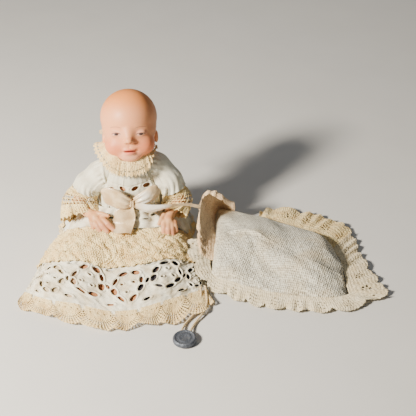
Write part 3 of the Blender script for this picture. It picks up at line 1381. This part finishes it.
def pillow_relief(u, v):
    """A seam across the top, two dips, crumples, and tucks along the near edge."""
    fade = smooth(u * 6) * (0.25 + 0.75 * smooth((0.56 - u) * 8))
    seam = 1.0 * np.exp(-((v - 0.435 - 0.012 * np.sin(u * 9)) / 0.008)**2) * fade
    dip = -0.9 * np.exp(-((v - 0.462 - 0.012 * np.sin(u * 9)) / 0.014)**2) * fade
    furrow = 1.8 * np.exp(-((u - 0.40 - 0.05 * np.sin(v * 5)) / 0.045)**2)
    dip = dip - furrow * smooth((v - 0.42) * 8) * smooth((0.9 - v) * 6)
    dip = dip - 1.3 * np.exp(-((u - 0.66) / 0.07)**2 - ((v - 0.40) / 0.10)**2)
    inside = smooth(u * 7) * smooth((1 - u) * 7) * smooth(v * 6) * smooth((1 - v) * 6)
    crumple = wobble(u * 15 + v * 5, v * 15 - u * 3, 3) * 1.5 + wobble(u * 33 - v * 9, v * 29, 6) * 0.7
    tucks = np.sin(u * 60 + 3 * np.sin(u * 9)) * 0.5 * np.exp(-((v - 0.9) / 0.06)**2)
    return (seam + dip + crumple + tucks) * inside


def make_pillow():
    """The cushion, its relief above and a flat underside, and the ruffles round it."""
    nu, nv = 230, 200
    top = raised(PILLOW, pillow_relief)
    u, v = np.meshgrid(np.linspace(0, 1, nu), np.linspace(0, 1, nv))
    above = top(u.ravel(), v.ravel())
    low = PILLOW(u.ravel(), v.ravel())
    rim = np.minimum(np.minimum(u, 1 - u) * 14, np.minimum(v, 1 - v) * 14).ravel()
    low[:, 2] = np.maximum(0.9, 3 - 2.1 * smooth(rim)) - 0.1
    border = ((u == 0) | (u == 1) | (v == 0) | (v == 1)).ravel()
    low[border] = above[border]
    index = np.arange(nu * nv) + nu * nv
    index[border] = np.arange(nu * nv)[border]
    faces = [face[::-1] for face in grid_faces(nu, nv)]
    faces += [[int(index[q]) for q in face[::-1]] for face in faces]
    pillow = mesh_object("pillow_cushion", np.concatenate([above, low]), faces, pillow_look())
    drop_loose(pillow)
    dress(pillow, "pillow", "pillow_cloth", "pillow_cover_top", "pillow_cover_bottom", "pillow_filling")
    make_ruffles()


def drop_loose(obj):
    """Takes away points that no face uses."""
    used = np.zeros(len(obj.data.vertices), bool)
    loops = np.zeros(len(obj.data.loops), np.int32)
    obj.data.loops.foreach_get("vertex_index", loops)
    used[loops] = True
    mesh = bmesh.new()
    mesh.from_mesh(obj.data)
    mesh.verts.ensure_lookup_table()
    bmesh.ops.delete(mesh, geom=[mesh.verts[int(k)] for k in np.flatnonzero(~used)], context="VERTS")
    mesh.to_mesh(obj.data)
    mesh.free()


def cluster(s, t, period, middle):
    """Distance outside a ring of seven small holes, one ring to a scallop."""
    cs = (s / period - np.floor(s / period) - 0.5) * period
    best = np.hypot(cs, t - middle) - 0.75
    for k in range(6):
        a = math.radians(60 * k + 15)
        gap = np.hypot((cs - 2.9 * math.cos(a)) / 1.25, t - middle - 2.6 * math.sin(a)) - 0.82
        best = np.minimum(best, gap)
    return best


SCALLOP_DEEP = 5.2
LACE_CELL = 0.36


def ruffle_sheet(name, rows, long, wide, period, material, waves, node, seed, flip=1, holes=1.0):
    """One lace ruffle of the pillow over rows of points. Laid flat it is long by wide millimetres."""
    surface = patch(rows)

    def place(u, v):
        return u * long, v * wide

    def field(u, v):
        s, t = place(u, v)
        lobe = np.abs(np.sin(s * PI / period + 0.6 * np.sin(s * 0.05)))**0.6
        edge = wide - SCALLOP_DEEP * (1 - lobe) - 0.75 * np.abs(np.sin(s * PI / 2.3)) - t
        return np.minimum(edge, cluster(s, t, period, wide * 0.5) + (1 - holes) * 0.45)

    def relief(u, v):
        s, t = place(u, v)
        fold = waves * np.sin(s * 2 * PI / 13 + 2.6 * np.sin(s * 0.11 + seed)) * smooth(t / wide * 1.2)
        rib = np.abs(np.sin(s * PI / 1.7 + 0.5 * np.sin(t))) * 0.4
        ring = np.abs(np.sin(t * PI / 2.4)) * 0.3
        return (fold + rib + ring + rough(s, t, 1.1, seed) * 0.5 + 0.3) * flip

    count = min(560, int(long / LACE_CELL))
    lace = field_mesh(name, raised(surface, relief), field, count, int(wide / LACE_CELL), material)
    thicken(lace, 0.35)
    dress(lace, "pillow", "pillow_lace", node)
    return lace


def make_ruffles():
    """The pillow's four ruffles: near, right, far and standing."""
    near = ruffle_sheet("pillow_ruffle_near", (
        ((74, -34, 14), (73.5, -48, 11.5), (73, -60, 8.5), (78, -71, 6), (91, -78, 6), (108, -86, 6),
         (127, -92, 5.5), (147, -97, 5.5), (165, -99, 5.5), (183, -98, 5), (196, -92, 4.5)),
        ((62, -36, 20), (62, -49, 17), (65, -63, 11), (75, -77, 4.5), (89, -87, 4), (106, -95.5, 4),
         (125, -102, 3.6), (146, -106, 3.6), (167, -107.5, 3.6), (190, -105, 3.4), (212, -93, 3.6)),
        ((50.5, -37, 20), (51.8, -50, 18.5), (58.5, -67, 11), (70, -83, 2.6), (87, -95, 1.8),
         (104, -104, 1.8), (122, -110.5, 1.8), (145, -113.5, 1.8), (168, -115, 1.8), (193, -112, 1.8),
         (226, -94, 2.6)),
    ), 200, 15, 19, NEAR, 0.8, "ruffle_near", 3, 1, 0.3)
    right = ruffle_sheet("pillow_ruffle_right", (
        ((193, -96, 4), (191.5, -84, 5), (191.5, -72, 5), (191, -58, 5), (189, -45, 5.5), (184, -33, 6)),
        ((211, -94, 3.8), (207, -79, 4), (204, -64, 4), (201, -48, 4), (198, -31, 4), (195, -16, 4)),
        ((229, -92, 2.4), (223, -74, 2), (217, -56, 2), (212, -38, 2), (209, -17, 2), (207, -1, 2)),
    ), 92, 25, 21, PALE, 1.1, "ruffle_right", 5)
    far = ruffle_sheet("pillow_ruffle_far", (
        ((184, -33, 6), (178, -22, 7), (168, -12, 8), (155, -5, 8), (141, 1, 8), (129, 7, 8), (119, 11, 8)),
        ((196, -16, 4.5), (191, -6, 5), (179, 3, 6), (164, 12, 6), (147, 18, 6.5), (132, 22, 7),
         (120, 20, 7)),
        ((207, -1, 2.4), (203, 9, 2.4), (190, 19, 2.6), (172, 29, 2.6), (152, 36, 3), (135, 38, 3),
         (122, 29, 4)),
    ), 96, 27, 19, CREAM, 1.2, "ruffle_far", 8)
    wall = ruffle_sheet("pillow_ruffle_standing", (
        ((96, 17, 12), (85, 20.5, 13), (80, 14, 14.5), (79.5, 0, 15.5), (79, -18, 16), (78.5, -34, 15.5),
         (77.5, -45, 14), (76, -55, 12)),
        ((96, 13, 22), (86, 15, 26), (77, 11, 30), (70.5, 0, 30), (69, -16, 26), (68.5, -32, 23),
         (68.5, -43, 20), (69, -54, 15)),
        ((94.5, 6, 31), (86, 4, 38), (78, 5, 44), (68, 1, 44), (64.5, -13, 37), (64, -28, 31), (64, -40, 26),
         (65.5, -53, 19)),
        ((92.5, 3, 29), (85, 0, 35.5), (76.5, 0, 42), (65, -1, 41.5), (61, -15, 34), (60.5, -29, 28.5),
         (61, -41, 24), (63, -53, 17.5)),
    ), 112, 28, 21, BLUSH, 0.55, "ruffle_standing", 2, -1, 0.4)


def dress_frame(skin):
    """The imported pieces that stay: legs, torso, hooks, elastics and the neck plug."""
    wire = Look("hook_wire_steel", roughness=0.35, specular=0.6)
    wire.shader.inputs["Metallic"].default_value = 0.9
    wire.colour(wire.mix(tint(168, 166, 160), tint(120, 112, 100), wire.noise(2, 4)))
    wire.bump(wire.noise(0.6, 3), 0.05)
    band = Look("elastic_cord", roughness=0.85)
    band.colour(band.mix(tint(232, 228, 214), tint(196, 188, 168), band.cells(0.6)))
    band.bump(band.cells(0.6), 0.15)
    plug = Look("plug_wood_grain", roughness=0.6)
    grain = plug.noise(1.5, 5)
    plug.colour(plug.mix(tint(196, 158, 112), tint(150, 110, 70), grain))
    plug.bump(grain, 0.15)
    looks = (("hook", wire.material), ("elastic", band.material), ("plug", plug.material), ("torso", skin),
             ("leg", skin))
    for name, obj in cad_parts.items():
        for word, material in looks:
            if word in name:
                obj.data.materials.clear()
                obj.data.materials.append(material)
                break


WAIST = patch((
    ((-33, 6, 33), (-32, -6, 40), (-24, -18, 44), (-4, -25.5, 46), (15, -25, 45.5), (27, -16, 42),
     (31, -5, 38), (32, 6, 32)),
    ((-46, 2, 24), (-43, -8, 33), (-29, -20, 39), (-5, -27, 40), (17, -26, 39.5), (33, -17, 36),
     (40, -7, 30), (42, 4, 22)),
    ((-55, -3, 12), (-50, -13, 26), (-34, -25, 35), (-6, -30, 36), (18, -29, 35), (37, -20, 31),
     (46, -10, 20), (48, 0, 10)),
    ((-61, -10, 4), (-56, -20, 18), (-38, -31, 31.5), (-7, -36, 34), (18, -35, 33), (39, -27, 29),
     (50, -17, 15), (54, -6, 3)),
))


def make_waist():
    """The gathered cutwork between the bodice and the lap."""
    table = [(-34 + 5.6 * k, 9.5 + 2.4 * math.sin(k * 2.1), 1.9, 1.1, 60 * math.sin(k * 1.3))
             for k in range(14)]

    def place(u, v):
        return (u - 0.5) * 96, v * 24

    def field(u, v):
        return eyelets(*place(u, v), table)

    def relief(u, v):
        frill = 1 + 1.3 * np.exp(-((u - 0.66) / 0.13)**2)
        gather = np.sin(u * 95 + 2.2 * np.sin(u * 17)) * 0.8 * frill
        gather = gather * smooth(v * 4 + 0.3) * smooth((1 - v) * 5 + 0.2)
        rim = 0.6 * np.exp(-((field(u, v) - 0.45) / 0.45)**2)
        return gather + rim + wobble(u * 20, v * 8, 4) * 1.0

    cloth = field_mesh("waist_gathers", raised(WAIST, relief), field, 320, 90, EYELET)
    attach(cloth, "torso")


SKIN = skin_look()
make_studio()
make_cords()
make_skirt()
make_skirt_back()
make_waist()
make_bodice()
make_arms(SKIN)
make_sleeves()
make_collar()
make_bow()
make_head()
make_pillow()
dress_frame(SKIN)
